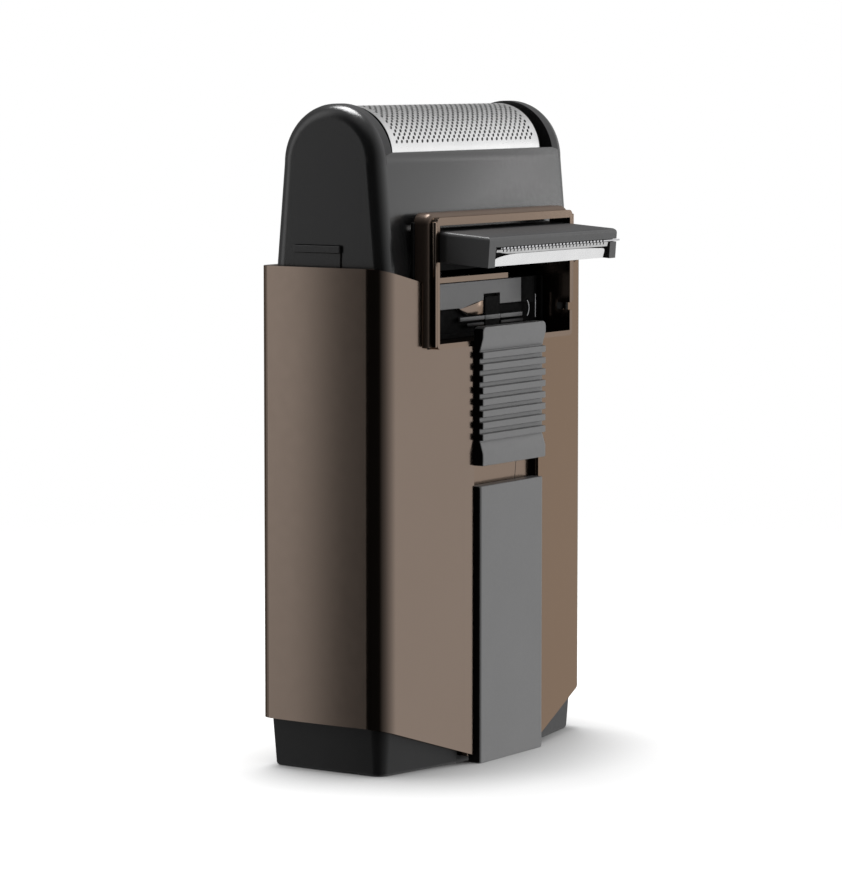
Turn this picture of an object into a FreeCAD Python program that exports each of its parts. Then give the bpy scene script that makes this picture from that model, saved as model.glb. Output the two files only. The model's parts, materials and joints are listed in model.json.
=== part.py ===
import FreeCAD, Part
import math
import os

# Pocket foil shaver with a pop-out trimmer, in millimetres.
# Origin: centre of the base on the surface it stands on. +Z is up, the trimmer faces -Y,
# and the plane X = 0 is the middle of the shaver.

os.makedirs("parts", exist_ok=True)
V = FreeCAD.Vector

# Body plan, seen from above (half widths along X, places along Y)
front_half = 10.0          # flat middle of the front, which holds the slider and the strip
front_y = -16.2
corner_half = 31.6         # where the slanted front facet meets the side
corner_y = -12.2
side_half = 31.75          # widest point of the bowed side
back_half = 31.1
back_y = 12.6
corner_round = 4.0
back_round = 2.0
wall = 1.2                 # moulded shell
gap = 0.15                 # between pieces that are assembled
seam_y = 11.0              # front shell meets the rear cover

# Heights of the body
sleeve_low = 8.2           # lower edge of the shell at the sides
sleeve_tip = 1.4           # lower edge of the shell beside the strip
sleeve_top = 83.6
facet_top = 80.85          # upper edge of the shell beside the trimmer window

# Trimmer window
window_half = 20.5
window_low = 71.0
window_high = 90.4
frame_half = 21.3
frame_low = 70.1
frame_high = 91.7
frame_y = -16.1
frame_back = -11.9
recess_back = -9.0
recess_high = 82.4
plate_y = -10.6            # face of the mechanism plate at the back of the window

# Front channel, slider and strip
channel_y = -14.9
strip_y = -17.3
strip_high = 46.7
slider_low = 50.1
slider_high = 73.3
slider_y = -17.8
slider_travel = 3.2
rib_pitch = 1.947
rib_height = 1.147
rib_count = 8
rib_top = 69.08            # upper edge of the topmost rib
groove_depth = 0.7
slope_high = 71.5          # the grip slopes in to the ribs from here
slope_low = 52.1           # and out again to here
key_low_x = 1.8            # catch of the slider, seen in the window
key_high_x = 6.4
key_high = 77.5

# Head
head_half = 29.3
head_low = 79.5
head_round = 2.5
arch_radius = 9.85
arch_z = 100.4             # centre of the arched ends
flare = 0.09               # growth of the half depth per millimetre below the arch
shelf_z = 102.3            # top of the front and back walls beside the foil
cap_inner = 25.0           # inner face of the arched ends
well_half = 24.95
well_y = 8.6
well_low = 97.4
hollow_half = 27.3
hollow_y = 9.5
hollow_high = 96.0

# Foil and cutter
foil_radius = 8.45
foil_inner = 8.2
foil_z = 101.4             # centre of the foil's curve
foil_half = 22.9
cutter_radius = 8.0
cutter_half = 20.6
cutter_side = 7.7
lamella_count = 30
lamella_thick = 0.35

# Trimmer, in its own section: u runs outward from the hinge, v upward
hinge_y = -13.2
hinge_z = 86.95
tilt = 4.2                 # droop of the opened trimmer, degrees
trim_half = 20.3
trim_length = 12.25
trim_up = 2.7
trim_down = 2.35
cheek = 2.1
pin_radius = 0.75
bore_radius = 0.8
tooth_pitch = 1.1
tooth_count = 30

# Drive
motor_radius = 7.75
motor_low = 59.4
motor_high = 75.6
crank_throw = 1.0
crank_radius = 0.8
deck_low = 77.8
deck_high = 79.0

# Release buttons in the head's ends
button_near = -2.6
button_far = 6.6
button_low = 80.8
button_high = 87.1

# Rear cover
switch_half = 5.0
switch_low = 60.0
switch_high = 70.0
screw_x = 23.0
screw_z = 17.0


def box(x0, x1, y0, y1, z0, z1):
    return Part.makeBox(x1 - x0, y1 - y0, z1 - z0, V(x0, y0, z0))


def rod(radius, start, end):
    along = V(*end).sub(V(*start))
    return Part.makeCylinder(radius, along.Length, V(*start), along)


def polygon(points):
    return Part.Face(Part.makePolygon([V(*p) for p in points] + [V(*points[0])]))


def cut(solid, *tools):
    for tool in tools:
        solid = solid.cut(tool)
    return solid


def fuse(solid, *others):
    for other in others:
        solid = solid.fuse(other)
    return solid.removeSplitter()


def mirrored(solid):
    return solid.mirror(V(0, 0, 0), V(1, 0, 0))


def round_edges(solid, radius, wanted):
    return solid.makeFillet(radius, [e for e in solid.Edges if wanted(e)])


def upright(edge):
    first, last = edge.Vertexes[0].Point, edge.Vertexes[-1].Point
    return abs(first.x - last.x) < 1e-6 and abs(first.y - last.y) < 1e-6 and len(edge.Vertexes) == 2


def save(name, solid):
    pieces = solid.Solids
    shape = pieces[0] if len(pieces) == 1 else Part.makeCompound(pieces)
    shape.exportStep("parts/" + name + ".step")
    print(name, "solids", len(pieces), "valid", shape.isValid(), "volume", round(shape.Volume, 2))


# Wound spring: short mitred lengths of wire, ten to a turn, drawn up +Z and then turned to its axis
def coil(radius, wire, turns, height, place, axis):
    sides = 10
    count = round(turns * sides)
    points = []
    for index in range(count + 1):
        turn = 2 * math.pi * index / sides
        points.append(V(radius * math.cos(turn), radius * math.sin(turn), height * index / count))
    pipe = Part.BRepOffsetAPI.MakePipeShell(Part.makePolygon(points))
    pipe.setTransitionMode(1)
    pipe.add(Part.Wire([Part.makeCircle(wire, points[0], points[1].sub(points[0]))]))
    pipe.build()
    pipe.makeSolid()
    spring = pipe.shape()
    spring.Placement = FreeCAD.Placement(V(*place), FreeCAD.Rotation(V(0, 0, 1), V(*axis)))
    return spring


# Plan of the body: one closed outline, used by every piece that follows the body's shape
def body_block():
    points = [(-front_half, front_y, 0), (front_half, front_y, 0), (corner_half, corner_y, 0)]
    right = Part.Arc(V(corner_half, corner_y, 0), V(side_half, 0, 0), V(back_half, back_y, 0)).toShape()
    left = Part.Arc(V(-back_half, back_y, 0), V(-side_half, 0, 0), V(-corner_half, corner_y, 0)).toShape()
    edges = [
        Part.makeLine(V(*points[0]), V(*points[1])),
        Part.makeLine(V(*points[1]), V(*points[2])),
        right,
        Part.makeLine(V(back_half, back_y, 0), V(-back_half, back_y, 0)),
        left,
        Part.makeLine(V(-corner_half, corner_y, 0), V(*points[0])),
    ]
    block = Part.Face(Part.Wire(edges)).extrude(V(0, 0, 10))
    block = round_edges(block, back_round, lambda e: upright(e) and e.Vertexes[0].Y > 5)
    return round_edges(block, corner_round, lambda e: upright(e) and -14 < e.Vertexes[0].Y < -5)


body_plan = [f for f in body_block().Faces if abs(f.CenterOfMass.z) < 1e-6][0].OuterWire


def plan_prism(inset, low, high):
    plan = body_plan.makeOffset2D(-inset) if inset else body_plan
    face = Part.Face(plan)
    face.translate(V(0, 0, low))
    return face.extrude(V(0, 0, high - low))


# Space taken by the moulded shell below its upper edge and above its lower edge
def shell_space(inset, spare):
    sides = plan_prism(0, sleeve_tip - spare, sleeve_top + spare)
    sides = sides.cut(plan_prism(inset, 0, 100))
    high = [(frame_half, 0, facet_top + spare), (corner_half, 0, sleeve_top + spare), (40, 0, sleeve_top + spare),
            (40, 0, 120), (frame_half, 0, 120)]
    low = [(front_half, 0, sleeve_tip - spare), (corner_half, 0, sleeve_low - spare), (40, 0, sleeve_low - spare),
           (40, 0, -5), (front_half, 0, -5)]
    for points in (high, low):
        wedge = polygon(points).extrude(V(0, 11, 0))
        wedge.translate(V(0, -20, 0))
        sides = cut(sides, wedge, mirrored(wedge))
    return sides.cut(box(-40, 40, -9.2, 40, -5, sleeve_low - spare))


def front_shell():
    shell = shell_space(wall, 0).common(box(-40, 40, -40, seam_y - 0.05, -5, 120))
    shell = shell.cut(box(-frame_half, frame_half, -20, frame_back, frame_low, 120))
    floor = box(-front_half - 1.5, front_half + 1.5, channel_y, channel_y + wall, sleeve_tip, frame_low + 0.5)
    cheeks = [box(s * 10.8 - 0.65, s * 10.8 + 0.65, front_y + 0.5, channel_y + wall, sleeve_tip, frame_low + 0.5)
              for s in (-1, 1)]
    frame = box(-frame_half, frame_half, frame_y, frame_back, frame_low, frame_high)
    frame = round_edges(frame, 1.0, lambda e: abs(e.Vertexes[0].X - e.Vertexes[-1].X) < 1e-6
                        and abs(e.Vertexes[0].Z - e.Vertexes[-1].Z) < 1e-6)
    back = box(-frame_half, frame_half, frame_back - 0.2, recess_back, frame_low, recess_high)
    ledge = box(-window_half - 0.3, 9.2, plate_y, recess_back, 80.4, 81.3)
    shell = fuse(shell, floor, *cheeks, frame, back)
    shell = cut(shell, box(-front_half - gap, front_half + gap, -30, channel_y, -1, frame_low))
    shell = cut(shell, box(-window_half, window_half, -30, 0, window_low, window_high))
    shell = cut(shell, box(-front_half - gap, front_half + gap, -30, -15.75, frame_low - 1, window_low + 1))
    shell = cut(shell, box(-2.7, 2.7, -30, -5, 52.0, 66.2))
    shell = cut(shell, box(key_low_x - 0.3, key_high_x + 0.3, -11.0, 0, frame_low - 1, window_low + 1))
    bore = rod(bore_radius, (-21.0, hinge_y, hinge_z), (21.0, hinge_y, hinge_z))
    tip_slot = box(window_half - 0.1, frame_half + 1.3, -17, -13.5, 74.5, 75.75)
    return cut(fuse(shell, ledge), bore, tip_slot)


def rear_cover():
    cover = plan_prism(0, sleeve_low, sleeve_top).common(box(-40, 40, seam_y, 40, 0, 100))
    cover = cut(cover, box(-2.1, 2.1, 5, 20, 63.9, 70.1))
    cover = cut(cover, rod(1.25, (0, 5, 48), (0, 20, 48)))
    for side in (-1, 1):
        cover = cut(cover, rod(1.1, (side * screw_x, 5, screw_z), (side * screw_x, 20, screw_z)))
        cover = cut(cover, rod(2.3, (side * screw_x, back_y - 1.0, screw_z), (side * screw_x, 20, screw_z)))
    return cover


def case_screw(side):
    head = rod(2.2, (side * screw_x, back_y - 1.0, screw_z), (side * screw_x, back_y - 0.1, screw_z))
    shank = rod(1.0, (side * screw_x, 5.0, screw_z), (side * screw_x, back_y - 1.0, screw_z))
    slot = box(side * screw_x - 1.6, side * screw_x + 1.6, back_y - 0.6, back_y, screw_z - 0.25, screw_z + 0.25)
    cross = box(side * screw_x - 0.25, side * screw_x + 0.25, back_y - 0.6, back_y, screw_z - 1.6, screw_z + 1.6)
    return cut(fuse(head, shank), slot, cross)


def base_cap():
    foot = body_plan.makeOffset2D(-1.95)
    shoulder = body_plan.makeOffset2D(-wall - 0.1)
    shoulder.translate(V(0, 0, sleeve_low))
    base = Part.makeLoft([foot, shoulder], True)
    base = round_edges(base, 0.6, lambda e: max(v.Z for v in e.Vertexes) < 0.01)
    base = fuse(base, plan_prism(wall + 0.1, sleeve_low - 0.01, 13.0))
    base = cut(base, plan_prism(wall + 1.6, 2.2, 20))
    base = cut(base, box(-front_half - 2, front_half + 2, -30, channel_y + wall + 0.05, -5, 20))
    base = cut(base, box(-40, 40, seam_y - 0.05, 30, sleeve_low - 0.02, 20))
    return cut(base, box(-4.6, 4.6, 4.2, 7.8, -1, 3))


def charging_socket():
    case = round_edges(box(-4.5, 4.5, 4.35, 7.65, 0.3, 7.6), 1.2, upright)
    hollow = round_edges(box(-4.2, 4.2, 4.65, 7.35, 0.2, 7.2), 1.0, upright)
    tongue = box(-3.2, 3.2, 5.7, 6.3, 1.2, 7.4)
    return fuse(cut(case, hollow), tongue)


def front_strip():
    strip = box(-front_half, front_half, strip_y, channel_y - 0.02, 0, strip_high)
    return strip.makeChamfer(0.35, [e for e in strip.Edges if upright(e) and e.Vertexes[0].Y < -17])


# Thumb grip, drawn from the side: sloped ends, with a row of ribs between them
def slider():
    deep = slider_y + groove_depth
    back = channel_y - 0.1
    side = [(0, back, slider_low), (0, slider_y, slider_low), (0, slider_y, slope_low)]
    for index in reversed(range(rib_count)):
        top = rib_top - index * rib_pitch
        side += [(0, deep, top - rib_height), (0, slider_y, top - rib_height), (0, slider_y, top), (0, deep, top)]
    side += [(0, slider_y, slope_high), (0, slider_y, slider_high), (0, back, slider_high)]
    grip = polygon(side).extrude(V(2 * front_half - 0.1, 0, 0))
    grip.translate(V(-front_half + 0.05, 0, 0))
    grip = round_edges(grip, 1.0, lambda e: all(abs(v.Z - slider_high) < 1e-6 for v in e.Vertexes)
                       and abs(e.Vertexes[0].X - e.Vertexes[-1].X) < 1e-6)
    grip = cut(grip, box(-12, 12, -15.85, -10, frame_low - slider_travel - 0.3, slider_high + 1))
    return fuse(grip, box(-2.5, 2.5, channel_y - 0.12, -13.4, 55.4, 65.9))


# Runner behind the channel, with the catch that rises into the window
def slider_carrier():
    runner = box(-8, 8, -13.4, -12.6, 55, 68.5)
    bridge = box(key_low_x, key_high_x, -12.65, -9.9, 57, 61)
    arm = box(key_low_x, key_high_x, plate_y - 0.1, -9.9, 57, key_high)
    return fuse(runner, bridge, arm)


def recess_tray():
    tray = box(-window_half + 0.05, window_half - 0.05, plate_y - 0.1, recess_back, window_low + 0.02, 80.3)
    tray = cut(tray, box(-window_half + 0.7, window_half - 0.7, -13, -9.7, window_low + 0.8, 90))
    return cut(tray, box(key_low_x - 0.3, key_high_x + 0.3, -11.1, -9.7, 60, 90))


def mechanism_plate():
    outline = [(-19.7, 0, 80.3), (13.5, 0, 80.3), (13.5, 0, 76.1), (key_high_x + 0.25, 0, 76.1),
               (key_high_x + 0.25, 0, 78.0), (key_low_x - 0.25, 0, 78.0), (key_low_x - 0.25, 0, 74.6),
               (-3.5, 0, 74.6), (-6.2, 0, 75.9), (-19.7, 0, 75.9)]
    plate = polygon(outline).extrude(V(0, 0.85, 0))
    plate.translate(V(0, plate_y, 0))
    return plate


def hinge_pin():
    return rod(pin_radius, (-20.95, hinge_y, hinge_z), (20.95, hinge_y, hinge_z))


# Pieces of the trimmer are drawn level, with the hinge at the origin, then turned to the opened pose
def place_trimmer(solid):
    solid.rotate(V(0, 0, 0), V(1, 0, 0), tilt)
    solid.translate(V(0, hinge_y, hinge_z))
    return solid


def trimmer_section(points, half_low, half_high):
    face = polygon([(half_low, -u, v) for u, v in points])
    return face.extrude(V(half_high - half_low, 0, 0))


def trimmer_housing():
    body = trimmer_section([(-1.5, trim_up), (trim_length, trim_up), (trim_length, -trim_down), (0.4, -trim_down),
                            (-1.3, -0.9), (-1.7, 0.6)], -trim_half, trim_half)
    body = round_edges(body, 0.7, lambda e: len(e.Vertexes) == 2 and e.Vertexes[0].Z > 2.6
                       and e.Vertexes[1].Z > 2.6 and min(e.Vertexes[0].Y, e.Vertexes[1].Y) < -12)
    inside = trim_half - cheek
    body = cut(body, box(-inside, inside, -13, -8.3, -3, 0.95))
    body = cut(body, box(-inside, inside, -8.5, -2.4, -1.2, 0.95))
    body = cut(body, rod(bore_radius, (-25, 0, 0), (25, 0, 0)))
    body = cut(body, box(inside - 1, 25, -13, -11.5, 0.45, 0.95))
    body = cut(body, box(-7, 7, -2.4, 3, -3, 1.7))
    return place_trimmer(body)


def comb_teeth(low, high, root, tip):
    slots = []
    for index in range(tooth_count):
        x = (index - (tooth_count - 1) / 2) * tooth_pitch
        slots.append(box(x - 0.22, x + 0.22, -tip, -root, low, high))
    return slots


def trimmer_comb():
    comb = trimmer_section([(8.6, 0.5), (12.3, 0.5), (12.3, 0.28), (11.7, -2.25), (11.2, -2.25), (11.75, 0.05),
                            (8.6, 0.05)], -18.0, 17.4)
    return place_trimmer(cut(comb, *comb_teeth(-0.6, 0.6, 11.85, 12.5)))


def trimmer_blade():
    blade = box(-16.4, 16.4, -12.15, -8.7, 0.53, 0.85)
    blade = cut(blade, *comb_teeth(0.4, 1.0, 11.4, 12.5))
    tail = box(-1.2, 1.2, -8.75, -4.0, 0.53, 0.85)
    tip = box(16.3, 21.6, -12.1, -11.85, 0.55, 0.83)
    return place_trimmer(fuse(blade, tail, tip))


def trimmer_spring():
    return coil(1.35, 0.22, 8, 5.0, (-2.5, hinge_y, hinge_z), (1, 0, 0))


def chassis():
    decks = [plan_prism(wall + gap, low, high) for low, high in ((13.1, 14.3), (57.9, 59.1), (deck_low, deck_high))]
    sides = [box(s * 28.8 - 0.7, s * 28.8 + 0.7, -7.5, 10.0, 14.0, deck_low + 0.5) for s in (-1, 1)]
    frame = fuse(decks[0], *decks[1:], *sides)
    frame = cut(frame, box(-40, 40, -30, recess_back + 0.05, 50, 100), box(-40, 40, -30, -12.5, 0, 100))
    frame = cut(frame, box(-40, 40, seam_y - 0.05, 30, 0, 100))
    frame = cut(frame, rod(3.4, (0, 0, deck_low - 1), (0, 0, deck_high + 1)))
    frame = cut(frame, rod(1.2, (-9, 1, 50), (-9, 1, 62)))
    for side in (-1, 1):
        post = rod(2.2, (side * screw_x, 6.0, screw_z), (side * screw_x, seam_y - 0.05, screw_z))
        arm = box(side * 25.7 - 2.8, side * 25.7 + 2.8, 6.0, 9.0, screw_z - 1.5, screw_z + 1.5)
        frame = fuse(frame, post, arm)
        frame = cut(frame, rod(1.0, (side * screw_x, 4.0, screw_z), (side * screw_x, 20, screw_z)))
    return frame


# Two strips that close the gap between the head's ends and the shell
def head_collar():
    side = plan_prism(wall + gap, 80.0, 82.9).common(box(-40, 40, -8.5, seam_y - 0.05, 0, 100))
    return cut(side, box(-head_half - 0.4, head_half + 0.4, -40, 40, 0, 100))


def motor():
    can = rod(motor_radius, (0, 0, motor_low), (0, 0, motor_high))
    flats = [box(-10, 10, s * 6.3 if s > 0 else -12, 12 if s > 0 else -6.3, 0, 100) for s in (-1, 1)]
    boss = rod(3.0, (0, 0, motor_high), (0, 0, deck_low - 0.3))
    return cut(fuse(cut(can, *flats), boss), rod(1.05, (0, 0, 70), (0, 0, 90)))


def motor_crank():
    shaft = rod(1.0, (0, 0, 70.5), (0, 0, 80))
    disc = rod(2.6, (0, 0, 79.5), (0, 0, 81.4))
    pin = rod(crank_radius, (crank_throw, 0, 81), (crank_throw, 0, 85.2))
    return fuse(shaft, disc, pin)


# Oscillator: fork round the crank, a stem up to the cutter and a seat for its springs
def oscillator():
    fork = cut(box(-6, 6, -5, 5, 82.2, 85.6), box(-3.2, 3.2, -3.2, 3.2, 82, 86))
    bridge = cut(box(-6, 6, -5, 5, 85.6, 87.6), box(-3.2, 3.2, -3.2, 3.2, 85, 86.2))
    stem = rod(2.0, (0, 0, 87), (0, 0, 100.5))
    seat = box(-15, 15, -3.2, 3.2, 89.5, 91.0)
    return fuse(fork, bridge, stem, seat)


def cutter_block():
    block = box(-cutter_half, cutter_half, -6, 6, 96.5, foil_z)
    dome = rod(6.1, (-cutter_half, 0, foil_z), (cutter_half, 0, foil_z))
    block = fuse(block, dome.common(box(-40, 40, -10, 10, foil_z - 2, 120)))
    block = cut(block, rod(2.08, (0, 0, 90), (0, 0, 103)))
    for side in (-1, 1):
        block = cut(block, rod(2.7, (side * 12, 0, 90), (side * 12, 0, 99.5)))
    return block


def cutter_blades():
    sleeve = rod(6.6, (-cutter_half, 0, foil_z), (cutter_half, 0, foil_z))
    pitch = 2 * cutter_half / (lamella_count - 1)
    blades = sleeve
    for index in range(lamella_count):
        x = -cutter_half + index * pitch * (2 * cutter_half - lamella_thick) / (2 * cutter_half)
        blades = blades.fuse(rod(cutter_radius, (x, 0, foil_z), (x + lamella_thick, 0, foil_z)))
    blades = blades.common(box(-40, 40, -cutter_side, cutter_side, 102.3, 120))
    return blades.cut(rod(6.15, (-40, 0, foil_z), (40, 0, foil_z)))


def cutter_spring(side):
    return coil(2.1, 0.25, 4.2, 7.9, (side * 12, 0, 91.3), (0, 0, 1))


def half_depth(z):
    return arch_radius + flare * (arch_z - z)


def head_housing():
    points = [V(0, -half_depth(head_low), head_low), V(0, -arch_radius, arch_z),
              V(0, arch_radius, arch_z), V(0, half_depth(head_low), head_low)]
    edges = [Part.makeLine(points[0], points[1]),
             Part.Arc(points[1], V(0, 0, arch_z + arch_radius), points[2]).toShape(),
             Part.makeLine(points[2], points[3]), Part.makeLine(points[3], points[0])]
    block = Part.Face(Part.Wire(edges)).extrude(V(2 * head_half, 0, 0))
    block.translate(V(-head_half, 0, 0))
    block = round_edges(block, head_round, lambda e: all(abs(abs(v.X) - head_half) < 1e-6 for v in e.Vertexes)
                        and max(v.Z for v in e.Vertexes) > head_low + 1 and len(set(round(v.X) for v in e.Vertexes)) == 1)
    block = cut(block, box(-cap_inner, cap_inner, -20, 20, shelf_z, 120))
    block = cut(block, box(-well_half, well_half, -well_y, well_y, well_low, 120))
    block = cut(block, box(-23.6, 23.6, -8.1, 8.1, hollow_high - 1, 120))
    block = cut(block, box(-hollow_half, hollow_half, -hollow_y, hollow_y, 0, hollow_high))
    block = cut(block, box(-frame_half - 0.3, frame_half + 0.3, -30, recess_back + 0.3, 0, recess_high + 0.1))
    block = cut(block, box(-frame_half - 0.3, frame_half + 0.3, -30, plate_y, 0, 89.3))
    block = cut(block, box(-40, 40, -30, frame_back + 0.1, 0, 120), shell_space(wall + gap, 0.12))
    block = cut(block, box(-40, 40, seam_y - 0.1, 30, 0, sleeve_top + 0.1))
    for side in (-1, 1):
        rib = box(side * 22.7 - 0.5, side * 22.7 + 0.5, -9.0, 9.6, head_low, 86)
        hole = box(side * 28.2 - 1.6, side * 28.2 + 1.6, button_near - 0.1, button_far + 0.1, 0, button_high + 0.1)
        block = cut(fuse(block, rib), hole)
    return block


def foil_frame():
    ring = box(-24.85, 24.85, -well_y + 0.1, well_y - 0.1, well_low + 0.02, 102.25)
    ring = cut(ring, box(-23.2, 23.2, -7.9, 7.9, 0, 120))
    for side in (-1, 1):
        inner = rod(foil_inner - 0.05, (side * 22.2, 0, foil_z), (side * foil_half, 0, foil_z))
        outer = rod(7.6, (side * foil_half, 0, foil_z), (side * 24.85, 0, foil_z))
        ends = fuse(inner, outer).common(box(-40, 40, -8.15, 8.15, 100.5, 120))
        ring = fuse(ring, ends)
    return ring


def foil():
    tube = cut(rod(foil_radius, (-foil_half, 0, foil_z), (foil_half, 0, foil_z)),
               rod(foil_inner, (-30, 0, foil_z), (30, 0, foil_z)))
    return tube.common(box(-40, 40, -20, 20, 102.26, 120))


def release_button(side):
    face = side * (head_half + 0.25)
    low_x, high_x = sorted((face, side * 27.6))
    pad = box(low_x, high_x, button_near, button_far, button_low, button_high)
    lip_low, lip_high = sorted((face, face + side * 0.35))
    lip = box(lip_low, lip_high, button_near, button_far, button_high - 1.2, button_high)
    flange_low, flange_high = sorted((side * 27.65, side * 26.3))
    flange = box(flange_low, flange_high, button_near, button_far, button_low, button_high - 0.6)
    stop_low, stop_high = sorted((side * 27.2, side * 26.3))
    stop = box(stop_low, stop_high, button_near - 0.8, button_far + 0.8, button_low + 0.5, button_high - 1)
    return fuse(pad, lip, flange, stop)


def button_spring(side):
    start = side * 25.0
    return coil(1.5, 0.22, 1.9, 1.3, (start, 2.0, 83.6), (-side, 0, 0))


def battery():
    cell = rod(7.0, (-9, 1, 16.2), (-9, 1, 56.3))
    return fuse(cell, rod(2.6, (-9, 1, 56.3), (-9, 1, 57.2)))


def battery_contact(low, high):
    return box(-13, -5, -2, 4, low, high)


def circuit_board():
    board = box(-19, 20, 8.7, 9.9, 18, 56)
    parts = [box(6, 13, 6.5, 8.7, 24, 32), box(5, 9, 7.2, 8.7, 36, 44), box(12, 17, 7.0, 8.7, 38, 50)]
    return fuse(board, *parts)


def power_switch():
    cap = box(-switch_half, switch_half, back_y + 0.1, back_y + 1.3, switch_low, switch_high)
    cap = round_edges(cap, 1.0, lambda e: abs(e.Vertexes[0].Y - e.Vertexes[-1].Y) > 0.5)
    for index in range(5):
        z = switch_low + 2.6 + index * 1.2
        cap = cut(cap, box(-3.4, 3.4, back_y + 0.9, back_y + 2, z - 0.3, z + 0.3))
    return fuse(cap, box(-2.0, 2.0, 10.4, back_y + 0.2, 64.0, 66.0))


def charge_light():
    return rod(1.2, (0, seam_y - 0.4, 48), (0, back_y - 0.05, 48))


save("front_shell", front_shell())
save("rear_cover", rear_cover())
save("base_cap", base_cap())
save("charging_socket", charging_socket())
save("front_strip", front_strip())
save("recess_tray", recess_tray())
save("mechanism_plate", mechanism_plate())
save("chassis", chassis())
save("head_collar", head_collar())
save("hinge_pin", hinge_pin())
save("slider", slider())
save("slider_carrier", slider_carrier())
save("trimmer_housing", trimmer_housing())
save("trimmer_comb", trimmer_comb())
save("trimmer_blade", trimmer_blade())
save("trimmer_spring", trimmer_spring())
save("motor", motor())
save("motor_crank", motor_crank())
save("oscillator", oscillator())
save("cutter_block", cutter_block())
save("cutter_blades", cutter_blades())
save("head_housing", head_housing())
save("foil_frame", foil_frame())
save("foil", foil())
save("battery", battery())
save("battery_contact_low", battery_contact(15.2, 16.1))
save("battery_contact_high", battery_contact(57.3, 57.8))
save("circuit_board", circuit_board())
save("power_switch", power_switch())
save("charge_light", charge_light())
for name, side in (("left", -1), ("right", 1)):
    save("case_screw_" + name, case_screw(side))
    save("release_button_" + name, release_button(side))
    save("button_spring_" + name, button_spring(side))
    save("cutter_spring_" + name, cutter_spring(side))
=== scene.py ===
import bpy
import bmesh
import json
import math
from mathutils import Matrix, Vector

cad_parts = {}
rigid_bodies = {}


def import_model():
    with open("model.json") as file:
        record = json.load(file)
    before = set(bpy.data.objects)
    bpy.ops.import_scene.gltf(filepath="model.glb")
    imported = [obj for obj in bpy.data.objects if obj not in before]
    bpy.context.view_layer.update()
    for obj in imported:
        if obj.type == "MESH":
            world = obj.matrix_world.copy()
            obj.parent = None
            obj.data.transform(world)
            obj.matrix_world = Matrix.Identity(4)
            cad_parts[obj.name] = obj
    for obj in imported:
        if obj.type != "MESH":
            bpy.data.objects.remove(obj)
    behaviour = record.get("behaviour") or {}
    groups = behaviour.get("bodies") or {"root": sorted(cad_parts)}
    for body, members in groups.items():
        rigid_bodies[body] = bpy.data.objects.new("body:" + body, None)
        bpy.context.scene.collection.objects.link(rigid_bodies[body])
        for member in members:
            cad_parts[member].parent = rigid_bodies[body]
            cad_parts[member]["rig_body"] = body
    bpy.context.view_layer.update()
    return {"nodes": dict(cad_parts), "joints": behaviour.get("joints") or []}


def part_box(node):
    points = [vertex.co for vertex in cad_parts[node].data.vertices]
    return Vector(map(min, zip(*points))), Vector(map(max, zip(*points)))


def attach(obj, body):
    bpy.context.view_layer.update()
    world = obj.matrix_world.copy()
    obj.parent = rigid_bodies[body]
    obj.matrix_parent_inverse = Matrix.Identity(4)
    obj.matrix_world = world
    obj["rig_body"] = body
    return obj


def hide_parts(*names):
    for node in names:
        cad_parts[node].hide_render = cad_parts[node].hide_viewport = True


# Pocket foil shaver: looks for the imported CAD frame. Lengths are in metres unless a name says mm.
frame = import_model()
mm = 0.001

joints = {joint["name"]: joint for joint in frame["joints"]}
hinge = Vector(joints["trimmer_fold"]["pos_m"])
foilLow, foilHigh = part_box("foil")
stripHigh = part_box("front_strip")[1]
print("frame loaded")


def startMaterial(name):
    material = bpy.data.materials.new(name)
    material.use_nodes = True
    nodes = material.node_tree.nodes
    shader = nodes["Principled BSDF"]
    return material, nodes, material.node_tree.links, shader


def addNoise(nodes, links, scale, detail=3.0, stretch=(1, 1, 1)):
    coords = nodes.new("ShaderNodeTexCoord")
    mapping = nodes.new("ShaderNodeMapping")
    mapping.inputs["Scale"].default_value = stretch
    noise = nodes.new("ShaderNodeTexNoise")
    noise.inputs["Scale"].default_value = scale
    noise.inputs["Detail"].default_value = detail
    links.new(coords.outputs["Object"], mapping.inputs["Vector"])
    links.new(mapping.outputs["Vector"], noise.inputs["Vector"])
    return noise


def addRange(nodes, links, source, low, high, fromLow=0.3, fromHigh=0.7):
    spread = nodes.new("ShaderNodeMapRange")
    spread.inputs["From Min"].default_value = fromLow
    spread.inputs["From Max"].default_value = fromHigh
    spread.inputs["To Min"].default_value = low
    spread.inputs["To Max"].default_value = high
    links.new(source, spread.inputs["Value"])
    return spread.outputs["Result"]


def addTint(nodes, links, source, colorA, colorB):
    mix = nodes.new("ShaderNodeMix")
    mix.data_type = "RGBA"
    mix.inputs[6].default_value = (*colorA, 1)
    mix.inputs[7].default_value = (*colorB, 1)
    links.new(source, mix.inputs[0])
    return mix.outputs[2]


def addBump(nodes, links, shader, height, distance, strength=1.0):
    bump = nodes.new("ShaderNodeBump")
    bump.inputs["Strength"].default_value = strength
    bump.inputs["Distance"].default_value = distance
    links.new(height, bump.inputs["Height"])
    links.new(bump.outputs["Normal"], shader.inputs["Normal"])


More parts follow.
